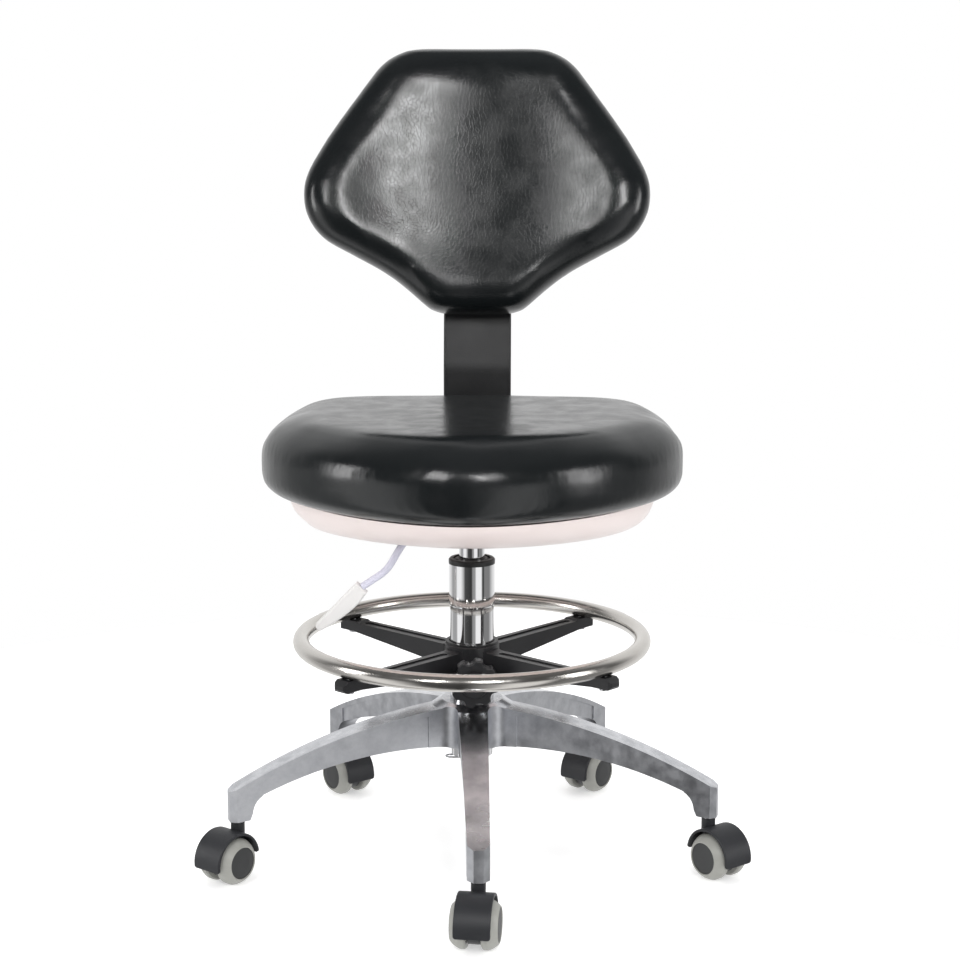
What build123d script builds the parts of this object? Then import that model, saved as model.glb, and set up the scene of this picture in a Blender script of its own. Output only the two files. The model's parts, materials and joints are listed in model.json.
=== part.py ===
"""A dentist's stool: five casters, a cast star base, a gas lift, a foot ring, a seat and a back."""

from build123d import *
from math import cos, radians, sin, tan
import os

# Millimetres. Z is up, the floor is Z = 0, the column stands on the origin and the sitter faces -Y.

# Fits between pieces
RUNNING_FIT = 0.05
SMALL_GAP = 0.3

# Star base
LEG_COUNT = 5
BASE_TURN = 3.0
STEM_RADIUS = 267.0
LEG_REACH = 276.5
LEG_ROOT_HALF_WIDTH = 17.0
LEG_TIP_HALF_WIDTH = 11.5
LEG_TIP_FACET = 6.5
LEG_WEB_FILLET = 16.0
LEG_BOTTOM = 63.5
HUB_TOP = 175.0
HUB_BOTTOM = 123.0
HUB_TOP_RADIUS = 34.0
FLANK_RECESS = 1.3
TOP_FLANGE = 6.0
POCKET_WALL = 4.5
# Arc of the legs' tops, in the plane through a leg
LEG_TOP_ARC = 663.0
LEG_TOP_CENTRE_R = -33.5
LEG_TOP_CENTRE_Z = -488.8
CROWN_EDGE_RADIUS = 45.0
# Radii where the flank recesses and the pockets under the legs start and end
RECESS_SPAN = (58.0, 242.0)
POCKET_SPAN = (62.0, 236.0)
# Underside of the legs from the tip boss inwards: radius and height
TIP_BOSS_FOOT = (256.0, 65.5)
TIP_BOSS_INNER = (253.0, 73.0)
UNDERSIDE_BEND = (250.0, 83.0)
UNDERSIDE_TIP = (241.0, 92.0)
UNDERSIDE_MIDDLE = (140.0, 121.0)
UNDERSIDE_ROOT = (40.0, 126.0)
HUB_FOOT_RADIUS = 30.0
HUB_BORE_BOTTOM = 23.15

# Casters
WHEEL_RADIUS = 25.0
HUB_DISC_RADIUS = 17.0
TRAIL = 17.0
WHEEL_INNER_FACE = 7.8
WHEEL_OUTER_FACE = 24.3
WHEEL_DOME = 1.2
WHEEL_DOME_MIDDLE = 0.4
HOOD_OUTER = 31.0
HOOD_INNER = 28.2
HOOD_HALF_WIDTH = 18.5
TYRE_FLAT = 6.5
TYRE_SHOULDER = 5.5
TYRE_BEAD = 1.5
TYRE_LIP = 1.0
TYRE_LIP_DEPTH = 0.4
HOOD_WEB_HALF = 6.0
HOOD_WEB_RADIUS = 20.0
HOOD_WEB_OVERLAP = 1.0
HOOD_WEB_TRIM = 2.0
HOOD_FRONT_ANGLE = -10.0
HOOD_REAR_ANGLE = 174.0
HOOD_EDGE_ROUND = 1.0
HOOD_CORNER_ROUND = 3.0
NECK_RADIUS = 7.5
NECK_BOTTOM = 44.0
NECK_TOP = 62.0
AXLE_RADIUS = 3.0
AXLE_HALF_LENGTH = 19.0
AXLE_CHAMFER = 0.5
STEM_PIN_RADIUS = 4.0
STEM_PIN_BOTTOM = 44.0
STEM_SHANK_RADIUS = 5.5
STEM_SHANK_TOP = 85.5
STEM_FLANGE_RADIUS = 7.0
# Direction of each wheel pair from its stem, in degrees from -Y towards +X
CASTER_HEADINGS = (-7.0, 39.0, -37.0, 39.0, -37.0)

# Column and gas lift
COLUMN_RADIUS = 25.0
COLUMN_WAIST_RADIUS = 24.25
COLUMN_FOOT_RADIUS = 22.9
COLUMN_BORE = 21.0
COLUMN_FOOT_BORE = 19.0
COLUMN_BOTTOM = 111.0
COLUMN_FLOOR_TOP = 119.0
COLUMN_STEP = 280.0
COLUMN_TOP = 327.0
BUSH_BOTTOM = 232.0
BUSH_TOP = 333.0
BUSH_FLANGE_RADIUS = 25.4
BUSH_CHAMFER = 1.5
BUSH_DISH_DEPTH = 2.0
BUSH_LIP_RADIUS = 18.0
BUSH_LIP_TOP = 332.5
COLUMN_STEP_RISE = 1.5
COLUMN_BORE_STEP = 5.0
CYLINDER_RADIUS = 14.0
CYLINDER_BORE = 12.4
CYLINDER_BOTTOM = 138.0
CYLINDER_TAPER_START = 358.0
CYLINDER_TOP = 375.5
CYLINDER_TOP_RADIUS = 13.3
CYLINDER_END_WALL = 4.0
CYLINDER_CAVITY_TOP = 366.0
ROD_RADIUS = 5.0
ROD_END_RADIUS = 4.0
ROD_BOTTOM = 103.0
PISTON_BOTTOM = 343.0
PISTON_TOP = 353.0
BEARING_RADIUS = 14.0
BEARING_HEIGHT = 5.0
BEARING_CHAMFER = 0.6
ROD_COLLAR_RADIUS = 9.0
ROD_COLLAR_HEIGHT = 4.0
CLIP_LEVEL = 107.0
CLIP_WIRE = 0.9
CLIP_REACH = 24.0
PIN_RADIUS = 4.0
PIN_BOTTOM = 358.0
PIN_GAP = 0.2
PIN_CHAMFER = 0.8

# Foot ring
RING_TURN = 4.0
RING_RADIUS = 187.8
RING_TUBE_RADIUS = 9.0
RING_WALL = 1.5
RING_LEVEL = 242.5
ARM_COUNT = 4
ARM_ROOT_HALF_WIDTH = 11.5
ARM_TIP_HALF_WIDTH = 9.0
ARM_ROOT_RADIUS = 28.0
ARM_REACH = 203.0
ARM_ROOT_BOTTOM = 208.0
ARM_TIP_BOTTOM = 221.5
ARM_TIP_FACET = 3.0
ARM_SHOULDER_RADIUS = 36.0
ARM_SHOULDER_RISE = 4.0
ARM_TOP_GAP = 1.5
# How far inside the ring's middle the arms rise to carry it, and how the tips curl up outside it
SADDLE_START = 18.0
SADDLE_END = 15.0
TIP_CURL = 6.0
TIP_CURL_DROP = 5.0
TIP_KEEL = 10.0
GROOVE_END_MARGIN = 62.0
GROOVE_SHIFT = 10.0
ARM_GROOVE_HALF_WIDTH = 4.0
ARM_GROOVE_DEPTH = 1.5
ARM_WEB_FILLET = 8.0
SLEEVE_OUTER = 27.0
SLEEVE_FLANGE = 29.0
SLEEVE_END = 2.5
SPIDER_HUB_RADIUS = 30.25
SPIDER_HUB_BOTTOM = 192.0
SPIDER_HUB_TOP = 238.0
SCREW_RADIUS = 3.0
SCREW_HEAD_RADIUS = 5.0
SCREW_HEAD_HEIGHT = 3.0
SCREW_BITE = 3.0
RING_KNOB_DIRECTION = -86.0
RING_KNOB_LEVEL = 207.0
RING_KNOB_BOSS_RADIUS = 13.0
RING_KNOB_BOSS_START = 28.0
RING_KNOB_BOSS_END = 44.0

# Star knobs; the shares are of the knob's radius or depth
KNOB_LOBES = 8
KNOB_NOTCH_SHARE = 0.24
KNOB_NOTCH_PLACE = 1.08
KNOB_ROUND_SHARE = 0.07
KNOB_NECK_SHARE = 0.55
KNOB_CAP_SHARE = 0.58
KNOB_CAP_TAPER = 18.0
KNOB_GRIP_START = 0.25
KNOB_GRIP_DEPTH = 0.6
RING_KNOB_RADIUS = 26.5
RING_KNOB_DEPTH = 25.0
SMALL_KNOB_RADIUS = 20.0
SMALL_KNOB_DEPTH = 18.0
STUD_RADIUS = 4.0

# Seat
SEAT_BOTTOM = 404.0
SEAT_TOP = 487.0
SEAT_HALF_WIDTH = 227.0
SEAT_FRONT = -212.0
SEAT_REAR = 215.0
SEAT_WIDEST_Y = 10.0
SEAT_TOP_ROUND = 38.0
SEAT_BOTTOM_ROUND = 30.0
# Handle lengths of the outline's curves: 0.552 would be an ellipse, less is more pointed
FRONT_FULLNESS = 0.46
REAR_FULLNESS = 0.82
BOARD_THICKNESS = 10.0
BOARD_HALF_WIDTH = 186.0
BOARD_FRONT = -166.0
BOARD_REAR = 172.0
# Pan levels from the rim down: height, half width, front and rear
PAN_LEVELS = (
    (403.5, 200.0, -190.0, 192.0),
    (389.0, 196.0, -172.0, 184.0),
    (368.0, 175.0, -119.0, 166.0),
    (356.0, 134.0, -64.0, 142.0),
    (347.0, 80.0, -18.0, 105.0),
)
PAN_WALL = 3.0
PAN_COLUMN_HOLE = 24.0
# Heights between which the holes through the pan's floor are cut
PAN_HOLES_SPAN = (325.0, 375.0)
# Box that opens the pan's rear wall for the back bar: width, height, its level and its depth
REAR_OPENING = (88.0, 50.0)
REAR_OPENING_LEVEL = 396.0
REAR_OPENING_SPAN = (140.0, 210.0)
LEVER_HOLE = (38.0, 13.0)
LEVER_HOLE_X = -80.0
DEPTH_KNOB_SLOT = (70.0, 12.0)

# Seat mechanism: a steel plate with a socket for the gas lift and a guide for the back bar
PLATE_THICKNESS = 3.0
PLATE_HALF_WIDTH = 85.0
PLATE_FRONT = -75.0
PLATE_REAR = 60.0
PLATE_CORNER = 8.0
GUIDE_OVERLAP = 10.0
BAR_SIDE_GAP = 0.2
WALL_HALF_GAP = 24.0
WALL_THICKNESS = 3.0
WALL_FRONT_X = 30.0
WALL_REAR_X = -42.0
WEB_BOTTOM = 356.0
WEB_THICKNESS = 4.0
SOCKET_RADIUS = 20.0
GUIDE_HALF_WIDTH = 36.0
GUIDE_BOTTOM = 371.0
GUIDE_REAR = 175.0
BOLT_SPACING_X = 140.0
BOLT_SPACING_Y = 100.0

# Release lever
LEVER_PIVOT_X = -30.0
LEVER_LEVEL = 385.0
LEVER_ROD_RADIUS = 4.0
LEVER_PIVOT_RADIUS = 2.5
LEVER_PIVOT_HALF_LENGTH = 29.0
LEVER_SIDE_Y = -20.0
LEVER_ROUTE = (
    (6.0, 0.0, LEVER_LEVEL),
    (-42.0, 0.0, LEVER_LEVEL),
    (-74.0, LEVER_SIDE_Y, 353.0),
    (-92.0, LEVER_SIDE_Y, 322.0),
    (-119.0, LEVER_SIDE_Y, 304.0),
)
HANDLE_TIP = (-170.0, -2.0, 252.0)
HANDLE_THICKNESS = 9.0
HANDLE_ROUND = 3.0
# Outline of the handle's flat side: share of its length, and the offset from its middle line
HANDLE_HEEL = (0.12, -9.5)
HANDLE_BELLY = (0.45, -13.5)
HANDLE_TAPER = (0.8, -6.0)
HANDLE_TOE = (0.97, -4.0)
HANDLE_END = (1.0, 1.0)
HANDLE_BACK = (0.94, 6.0)
HANDLE_MOUTH = 8.0
LEVER_BENDS = (14.0, 40.0, 45.0)

# Back bar and its cover
BAR_HALF_WIDTH = 30.0
BAR_THICKNESS = 6.0
BAR_LEVEL = 380.0
BAR_FRONT_Y = 80.0
BAR_UPRIGHT_Y = 234.0
BAR_KINK_Z = 515.0
BAR_TOP_Z = 770.0
BAR_LOW_BEND = 34.0
BAR_HIGH_BEND = 60.0
BACK_LEAN = 10.5
COVER_HALF_WIDTH = 40.0
COVER_THICKNESS = 20.0
COVER_BOTTOM_Z = 416.0
COVER_TOP_Z = 604.0
COVER_BORDER = 3.0
COVER_RECESS = 0.9
COVER_CORNER = 2.0
DEPTH_KNOB_Y = 125.0
DEPTH_KNOB_TOP = 343.0

# Backrest
PAD_CENTRE_Y = 225.0
PAD_CENTRE_Z = 733.0
PAD_THICKNESS = 57.0
PAD_CURVE_RADIUS = 900.0
PAD_TOP = 156.5
PAD_BOTTOM = -155.0
# Corners of the pad's right half between its bottom and its top, upwards, and their rounding radii
PAD_CORNERS = (
    (50.0, PAD_BOTTOM),
    (99.9, -111.7),
    (226.4, -45.0),
    (178.0, 46.8),
    (100.4, PAD_TOP),
)
PAD_CORNER_ROUNDS = (35.0, 220.0, 67.0, 500.0, 70.0)
PAD_EDGE_ROUND = 24.0
PAD_TRIM = 5.0
SHELL_THICKNESS = 4.0
SHELL_INSET = 16.0
BRACKET_HALF_WIDTH = 42.0
BRACKET_HALF_HEIGHT = 48.0
BRACKET_RISE = -20.0
BRACKET_BACK_WALL = 8.0
BRACKET_ROUND = 4.0
BRACKET_SCREW_X = 36.0
BRACKET_SCREW_HEIGHT = 36.0

os.makedirs("parts", exist_ok=True)


def finish(piece, name):
    """Labels a finished piece and writes it."""
    piece.label = name
    export_step(piece, f"parts/{name}.step")


def direction(degrees):
    """A level unit vector at an angle from +X towards +Y."""
    return Vector(cos(radians(degrees)), sin(radians(degrees)), 0)


LEG_ANGLES = [-90 + BASE_TURN + 360 / LEG_COUNT * i for i in range(LEG_COUNT)]
ARM_ANGLES = [45 + RING_TURN + 360 / ARM_COUNT * i for i in range(ARM_COUNT)]
BOARD_BOTTOM = SEAT_BOTTOM - BOARD_THICKNESS
PLATE_BOTTOM = BOARD_BOTTOM - PLATE_THICKNESS
BEARING_TOP = COLUMN_FLOOR_TOP + BEARING_HEIGHT


# ---- Star base ----

def arm_outline(inner, outer, root_half, tip_half, facet):
    """Corners of one leg or arm along +X, tapering outwards, with a facet on each end corner."""
    return [
        (inner, -root_half),
        (outer - facet, -tip_half),
        (outer, -tip_half + facet),
        (outer, tip_half - facet),
        (outer - facet, tip_half),
        (inner, root_half),
    ]


def leg_top_height(radius):
    """Height of a leg's top at a radius, on the arc through its crown."""
    return LEG_TOP_CENTRE_Z + (LEG_TOP_ARC**2 - (radius - LEG_TOP_CENTRE_R) ** 2) ** 0.5


def under_crown(start, end):
    """Lines of the closed section between two radii, from the crown's flange to the leg's bottom."""
    middle = (start + end) / 2
    ThreePointArc(
        (start, leg_top_height(start) - TOP_FLANGE),
        (middle, leg_top_height(middle) - TOP_FLANGE),
        (end, leg_top_height(end) - TOP_FLANGE),
    )
    Polyline(
        (end, leg_top_height(end) - TOP_FLANGE),
        (end, LEG_BOTTOM),
        (start, LEG_BOTTOM),
        (start, leg_top_height(start) - TOP_FLANGE),
    )


def star_polygon(growth, facet, mode=Mode.ADD):
    """The five legs' plan outlines in the open sketch, grown sideways."""
    with PolarLocations(0, LEG_COUNT, start_angle=LEG_ANGLES[0]):
        outline = arm_outline(
            0, LEG_REACH, LEG_ROOT_HALF_WIDTH + growth, LEG_TIP_HALF_WIDTH + growth, facet
        )
        Polygon(*outline, align=None, mode=mode)


with BuildPart() as leg_recesses:
    with BuildSketch(Plane.XZ):
        with BuildLine():
            under_crown(*RECESS_SPAN)
        make_face()
    revolve(axis=Axis.Z)
    with BuildSketch():
        star_polygon(FLANK_RECESS, LEG_TIP_FACET)
        star_polygon(-FLANK_RECESS, LEG_TIP_FACET, mode=Mode.SUBTRACT)
    extrude(amount=HUB_TOP, mode=Mode.INTERSECT)

with BuildPart() as leg_pockets:
    with BuildSketch(Plane.XZ):
        with BuildLine():
            under_crown(*POCKET_SPAN)
        make_face()
    revolve(axis=Axis.Z)
    with BuildSketch():
        star_polygon(-POCKET_WALL, 1)
    extrude(amount=HUB_TOP, mode=Mode.INTERSECT)

with BuildPart() as base_star:
    with BuildSketch(Plane.XZ):
        with BuildLine():
            Polyline(
                (COLUMN_WAIST_RADIUS, HUB_TOP),
                (HUB_TOP_RADIUS, HUB_TOP),
                (CROWN_EDGE_RADIUS, leg_top_height(CROWN_EDGE_RADIUS)),
            )
            ThreePointArc(
                (CROWN_EDGE_RADIUS, leg_top_height(CROWN_EDGE_RADIUS)),
                (LEG_REACH / 2, leg_top_height(LEG_REACH / 2)),
                (LEG_REACH, leg_top_height(LEG_REACH)),
            )
            Polyline(
                (LEG_REACH, leg_top_height(LEG_REACH)),
                (LEG_REACH, LEG_BOTTOM),
                TIP_BOSS_FOOT,
                TIP_BOSS_INNER,
            )
            ThreePointArc(TIP_BOSS_INNER, UNDERSIDE_BEND, UNDERSIDE_TIP)
            ThreePointArc(UNDERSIDE_TIP, UNDERSIDE_MIDDLE, UNDERSIDE_ROOT)
            Polyline(
                UNDERSIDE_ROOT,
                (HUB_FOOT_RADIUS, HUB_BOTTOM),
                (HUB_BORE_BOTTOM, HUB_BOTTOM),
                (COLUMN_WAIST_RADIUS, HUB_TOP),
            )
        make_face()
    revolve(axis=Axis.Z)
    with BuildSketch() as star_plan:
        star_polygon(0, LEG_TIP_FACET)
        web_corners = star_plan.vertices().filter_by(
            lambda corner: corner.center().length < 2 * LEG_ROOT_HALF_WIDTH
        )
        fillet(web_corners, radius=LEG_WEB_FILLET)
    extrude(amount=HUB_TOP, mode=Mode.INTERSECT)
    add(leg_recesses.part, mode=Mode.SUBTRACT)
    add(leg_pockets.part, mode=Mode.SUBTRACT)
    with BuildSketch(Plane.XY.offset(LEG_BOTTOM)):
        with PolarLocations(STEM_RADIUS, LEG_COUNT, start_angle=LEG_ANGLES[0]):
            Circle(STEM_SHANK_RADIUS)
    extrude(amount=STEM_SHANK_TOP - LEG_BOTTOM, mode=Mode.SUBTRACT)
finish(base_star.part, "base_star")

with BuildPart() as one_stem:
    with BuildSketch(Plane.XZ):
        with BuildLine():
            Polyline(
                (0, STEM_PIN_BOTTOM),
                (STEM_PIN_RADIUS, STEM_PIN_BOTTOM),
                (STEM_PIN_RADIUS, NECK_TOP + SMALL_GAP),
                (STEM_FLANGE_RADIUS, NECK_TOP + SMALL_GAP),
                (STEM_FLANGE_RADIUS, LEG_BOTTOM),
                (STEM_SHANK_RADIUS, LEG_BOTTOM),
                (STEM_SHANK_RADIUS, STEM_SHANK_TOP),
                (0, STEM_SHANK_TOP),
                close=True,
            )
        make_face()
    revolve(axis=Axis.Z)

with BuildPart() as caster_stems:
    with PolarLocations(STEM_RADIUS, LEG_COUNT, start_angle=LEG_ANGLES[0]):
        add(one_stem.part)
finish(caster_stems.part, "caster_stems")


# ---- Casters ----

def caster_planes(leg_angle, heading):
    """A caster's side plane, with its x along the trail and its y upwards, at the stem."""
    trail_direction = direction(-90 + heading)
    stem = direction(leg_angle) * STEM_RADIUS
    return Plane(stem, x_dir=trail_direction, z_dir=trail_direction.cross(Vector(0, 0, 1)))


def pie(radius, start, end):
    """Lines around a slice of a circle about the axle, from one angle to another."""
    arc = CenterArc((TRAIL, WHEEL_RADIUS), radius, start, end - start)
    Polyline(arc @ 1, (TRAIL, WHEEL_RADIUS), arc @ 0)


def make_hood(side):
    """The hood with its centre web and swivel neck."""
    with BuildPart() as hood:
        with BuildSketch(side):
            with BuildLine():
                pie(HOOD_OUTER, HOOD_FRONT_ANGLE, HOOD_REAR_ANGLE)
            make_face()
            with Locations((TRAIL, WHEEL_RADIUS)):
                Circle(HOOD_INNER, mode=Mode.SUBTRACT)
        extrude(amount=HOOD_HALF_WIDTH, both=True)
        lower_corners = hood.edges().filter_by(
            lambda edge: abs(edge.length - (HOOD_OUTER - HOOD_INNER)) < 0.01
        )
        fillet(lower_corners, radius=HOOD_CORNER_ROUND)
        outer_rims = hood.edges().filter_by(
            lambda edge: edge.geom_type == GeomType.CIRCLE and abs(edge.radius - HOOD_OUTER) < 0.01
        )
        fillet(outer_rims, radius=HOOD_EDGE_ROUND)
        with BuildSketch(side):
            with BuildLine():
                pie(
                    HOOD_INNER + HOOD_WEB_OVERLAP,
                    HOOD_FRONT_ANGLE + HOOD_WEB_TRIM,
                    HOOD_REAR_ANGLE - HOOD_WEB_TRIM,
                )
            make_face()
            with Locations((TRAIL, WHEEL_RADIUS)):
                Circle(HOOD_WEB_RADIUS)
        extrude(amount=HOOD_WEB_HALF, both=True)
        with BuildSketch(Plane(side.origin + Vector(0, 0, NECK_BOTTOM), z_dir=(0, 0, 1))):
            Circle(NECK_RADIUS)
        extrude(amount=NECK_TOP - NECK_BOTTOM)
        with BuildSketch(Plane(side.origin + Vector(0, 0, STEM_PIN_BOTTOM - 1), z_dir=(0, 0, 1))):
            Circle(STEM_PIN_RADIUS + RUNNING_FIT)
        extrude(amount=NECK_TOP - STEM_PIN_BOTTOM + 1, mode=Mode.SUBTRACT)
        with BuildSketch(side):
            with Locations((TRAIL, WHEEL_RADIUS)):
                Circle(AXLE_RADIUS)
        extrude(amount=HOOD_HALF_WIDTH, both=True, mode=Mode.SUBTRACT)
    return hood.part


def make_axle(side):
    """The axle, pressed through the hood's web."""
    with BuildPart() as axle:
        with BuildSketch(side):
            with Locations((TRAIL, WHEEL_RADIUS)):
                Circle(AXLE_RADIUS)
        extrude(amount=AXLE_HALF_LENGTH, both=True)
        chamfer(axle.edges(), length=AXLE_CHAMFER)
    return axle.part


def wheel_section(side, hand):
    """A plane through the axle: x runs outwards along it from the web, y is the wheel's radius."""
    centre = side.from_local_coords((TRAIL, WHEEL_RADIUS, 0))
    return Plane(centre, x_dir=side.z_dir * hand, z_dir=side.x_dir)


def make_wheel(section):
    """One wheel body: a domed disc with a hub that turns on the axle."""
    bore = AXLE_RADIUS + RUNNING_FIT
    bore_end = AXLE_HALF_LENGTH + SMALL_GAP
    with BuildPart() as wheel:
        with BuildSketch(section):
            with BuildLine():
                Polyline(
                    (bore_end, 0),
                    (bore_end, bore),
                    (WHEEL_INNER_FACE, bore),
                    (WHEEL_INNER_FACE, HUB_DISC_RADIUS),
                    (WHEEL_OUTER_FACE - WHEEL_DOME, HUB_DISC_RADIUS),
                )
                ThreePointArc(
                    (WHEEL_OUTER_FACE - WHEEL_DOME, HUB_DISC_RADIUS),
                    (WHEEL_OUTER_FACE - WHEEL_DOME_MIDDLE, HUB_DISC_RADIUS * 0.75),
                    (WHEEL_OUTER_FACE, HUB_DISC_RADIUS / 2),
                )
                Polyline((WHEEL_OUTER_FACE, HUB_DISC_RADIUS / 2), (WHEEL_OUTER_FACE, 0), (bore_end, 0))
            make_face()
        revolve(axis=Axis(section.origin, section.x_dir))
    return wheel.part


def make_tyre(section):
    """The soft tread around one wheel."""
    with BuildPart() as tyre:
        with BuildSketch(section):
            with BuildLine():
                Polyline(
                    (WHEEL_INNER_FACE, HUB_DISC_RADIUS),
                    (WHEEL_INNER_FACE, WHEEL_RADIUS - TYRE_BEAD),
                    (WHEEL_INNER_FACE + TYRE_BEAD, WHEEL_RADIUS),
                    (WHEEL_INNER_FACE + TYRE_FLAT, WHEEL_RADIUS),
                )
                ThreePointArc(
                    (WHEEL_INNER_FACE + TYRE_FLAT, WHEEL_RADIUS),
                    (WHEEL_OUTER_FACE - TYRE_SHOULDER + TYRE_LIP, WHEEL_RADIUS - TYRE_SHOULDER / 2),
                    (WHEEL_OUTER_FACE, HUB_DISC_RADIUS + TYRE_LIP),
                )
                Polyline(
                    (WHEEL_OUTER_FACE, HUB_DISC_RADIUS + TYRE_LIP),
                    (WHEEL_OUTER_FACE - TYRE_LIP_DEPTH, HUB_DISC_RADIUS),
                    (WHEEL_INNER_FACE, HUB_DISC_RADIUS),
                )
            make_face()
        revolve(axis=Axis(section.origin, section.x_dir))
    return tyre.part


for number, (leg_angle, heading) in enumerate(zip(LEG_ANGLES, CASTER_HEADINGS), start=1):
    side_plane = caster_planes(leg_angle, heading)
    finish(make_hood(side_plane), f"caster_{number}_hood")
    finish(make_axle(side_plane), f"caster_{number}_axle")
    for hand, name in ((1, "left"), (-1, "right")):
        section_plane = wheel_section(side_plane, hand)
        finish(make_wheel(section_plane), f"caster_{number}_wheel_{name}")
        finish(make_tyre(section_plane), f"caster_{number}_tyre_{name}")


# ---- Column and gas lift ----

with BuildPart() as column_tube:
    with BuildSketch(Plane.XZ):
        with BuildLine():
            Polyline(
                (ROD_END_RADIUS + 1, COLUMN_BOTTOM),
                (COLUMN_FOOT_RADIUS, COLUMN_BOTTOM),
                (HUB_BORE_BOTTOM, HUB_BOTTOM),
                (COLUMN_WAIST_RADIUS, HUB_TOP),
                (COLUMN_WAIST_RADIUS, COLUMN_STEP),
                (COLUMN_RADIUS, COLUMN_STEP + COLUMN_STEP_RISE),
                (COLUMN_RADIUS, COLUMN_TOP),
                (COLUMN_BORE, COLUMN_TOP),
                (COLUMN_BORE, BUSH_BOTTOM),
                (COLUMN_FOOT_BORE, BUSH_BOTTOM - COLUMN_BORE_STEP),
                (COLUMN_FOOT_BORE, COLUMN_FLOOR_TOP),
                (ROD_END_RADIUS + 1, COLUMN_FLOOR_TOP),
                close=True,
            )
        make_face()
    revolve(axis=Axis.Z)
finish(column_tube.part, "column_tube")

with BuildPart() as column_bush:
    with BuildSketch(Plane.XZ):
        with BuildLine():
            Polyline(
                (CYLINDER_RADIUS + RUNNING_FIT, BUSH_BOTTOM),
                (COLUMN_BORE, BUSH_BOTTOM),
                (COLUMN_BORE, COLUMN_TOP),
                (BUSH_FLANGE_RADIUS, COLUMN_TOP),
                (BUSH_FLANGE_RADIUS, BUSH_TOP - BUSH_CHAMFER),
                (BUSH_FLANGE_RADIUS - BUSH_CHAMFER, BUSH_TOP),
                (COLUMN_BORE - 0.5, BUSH_TOP),
                (COLUMN_BORE - 0.5, BUSH_TOP - BUSH_DISH_DEPTH),
                (BUSH_LIP_RADIUS, BUSH_TOP - BUSH_DISH_DEPTH),
                (BUSH_LIP_RADIUS, BUSH_LIP_TOP),
                (CYLINDER_RADIUS + BUSH_CHAMFER, BUSH_LIP_TOP),
                (CYLINDER_RADIUS + RUNNING_FIT, BUSH_LIP_TOP - BUSH_CHAMFER),
                close=True,
            )
        make_face()
    revolve(axis=Axis.Z)
finish(column_bush.part, "column_bush")

with BuildPart() as thrust_bearing:
    with BuildSketch(Plane.XY.offset(COLUMN_FLOOR_TOP)):
        Circle(BEARING_RADIUS)
        Circle(ROD_RADIUS + 0.5, mode=Mode.SUBTRACT)
    extrude(amount=BEARING_HEIGHT)
    chamfer(thrust_bearing.edges(), length=BEARING_CHAMFER)
finish(thrust_bearing.part, "thrust_bearing")

with BuildPart() as piston_rod:
    with BuildSketch(Plane.XZ):
        with BuildLine():
            Polyline(
                (0, ROD_BOTTOM),
                (ROD_END_RADIUS, ROD_BOTTOM),
                (ROD_END_RADIUS, BEARING_TOP + SMALL_GAP),
                (ROD_COLLAR_RADIUS, BEARING_TOP + SMALL_GAP),
                (ROD_COLLAR_RADIUS, BEARING_TOP + SMALL_GAP + ROD_COLLAR_HEIGHT),
                (ROD_RADIUS, BEARING_TOP + SMALL_GAP + ROD_COLLAR_HEIGHT),
                (ROD_RADIUS, PISTON_BOTTOM),
                (CYLINDER_BORE - RUNNING_FIT, PISTON_BOTTOM),
                (CYLINDER_BORE - RUNNING_FIT, PISTON_TOP),
                (0, PISTON_TOP),
                close=True,
            )
        make_face()
    revolve(axis=Axis.Z)
finish(piston_rod.part, "piston_rod")

with BuildPart() as retaining_clip:
    with BuildSketch(Plane.XY.offset(CLIP_LEVEL - CLIP_WIRE)):
        with Locations((-CLIP_REACH / 2, 0)):
            SlotCenterToCenter(CLIP_REACH, 2 * ROD_END_RADIUS + 4 * CLIP_WIRE)
            SlotCenterToCenter(CLIP_REACH, 2 * ROD_END_RADIUS, mode=Mode.SUBTRACT)
    extrude(amount=2 * CLIP_WIRE)
    fillet(retaining_clip.edges().filter_by(Plane.XY), radius=CLIP_WIRE * 0.8)
finish(retaining_clip.part, "retaining_clip")

with BuildPart() as gas_cylinder:
    with BuildSketch(Plane.XZ):
        with BuildLine():
            Polyline(
                (ROD_RADIUS + RUNNING_FIT, CYLINDER_BOTTOM),
                (CYLINDER_RADIUS, CYLINDER_BOTTOM),
                (CYLINDER_RADIUS, CYLINDER_TAPER_START),
                (CYLINDER_TOP_RADIUS, CYLINDER_TOP),
                (PIN_RADIUS + RUNNING_FIT, CYLINDER_TOP),
                (PIN_RADIUS + RUNNING_FIT, CYLINDER_CAVITY_TOP),
                (CYLINDER_BORE, CYLINDER_CAVITY_TOP),
                (CYLINDER_BORE, CYLINDER_BOTTOM + CYLINDER_END_WALL),
                (ROD_RADIUS + RUNNING_FIT, CYLINDER_BOTTOM + CYLINDER_END_WALL),
                close=True,
            )
        make_face()
    revolve(axis=Axis.Z)
finish(gas_cylinder.part, "gas_cylinder")

PIN_TOP = LEVER_LEVEL - LEVER_ROD_RADIUS - PIN_GAP
with BuildPart() as release_pin:
    with BuildSketch(Plane.XY.offset(PIN_BOTTOM)):
        Circle(PIN_RADIUS)
    extrude(amount=PIN_TOP - PIN_BOTTOM)
    chamfer(release_pin.edges().group_by(Axis.Z)[-1], length=PIN_CHAMFER)
finish(release_pin.part, "release_pin")


# ---- Foot ring ----

with BuildPart() as footring_tube:
    with BuildSketch(Plane.XZ):
        with Locations((RING_RADIUS, RING_LEVEL)):
            Circle(RING_TUBE_RADIUS)
            Circle(RING_TUBE_RADIUS - RING_WALL, mode=Mode.SUBTRACT)
    revolve(axis=Axis.Z)
    with BuildSketch(Plane.XY.offset(RING_LEVEL - RING_TUBE_RADIUS - 1)):
        with PolarLocations(RING_RADIUS, ARM_COUNT, start_angle=ARM_ANGLES[0]):
            Circle(SCREW_RADIUS)
    extrude(amount=RING_TUBE_RADIUS, mode=Mode.SUBTRACT)
finish(footring_tube.part, "footring_tube")

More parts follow.
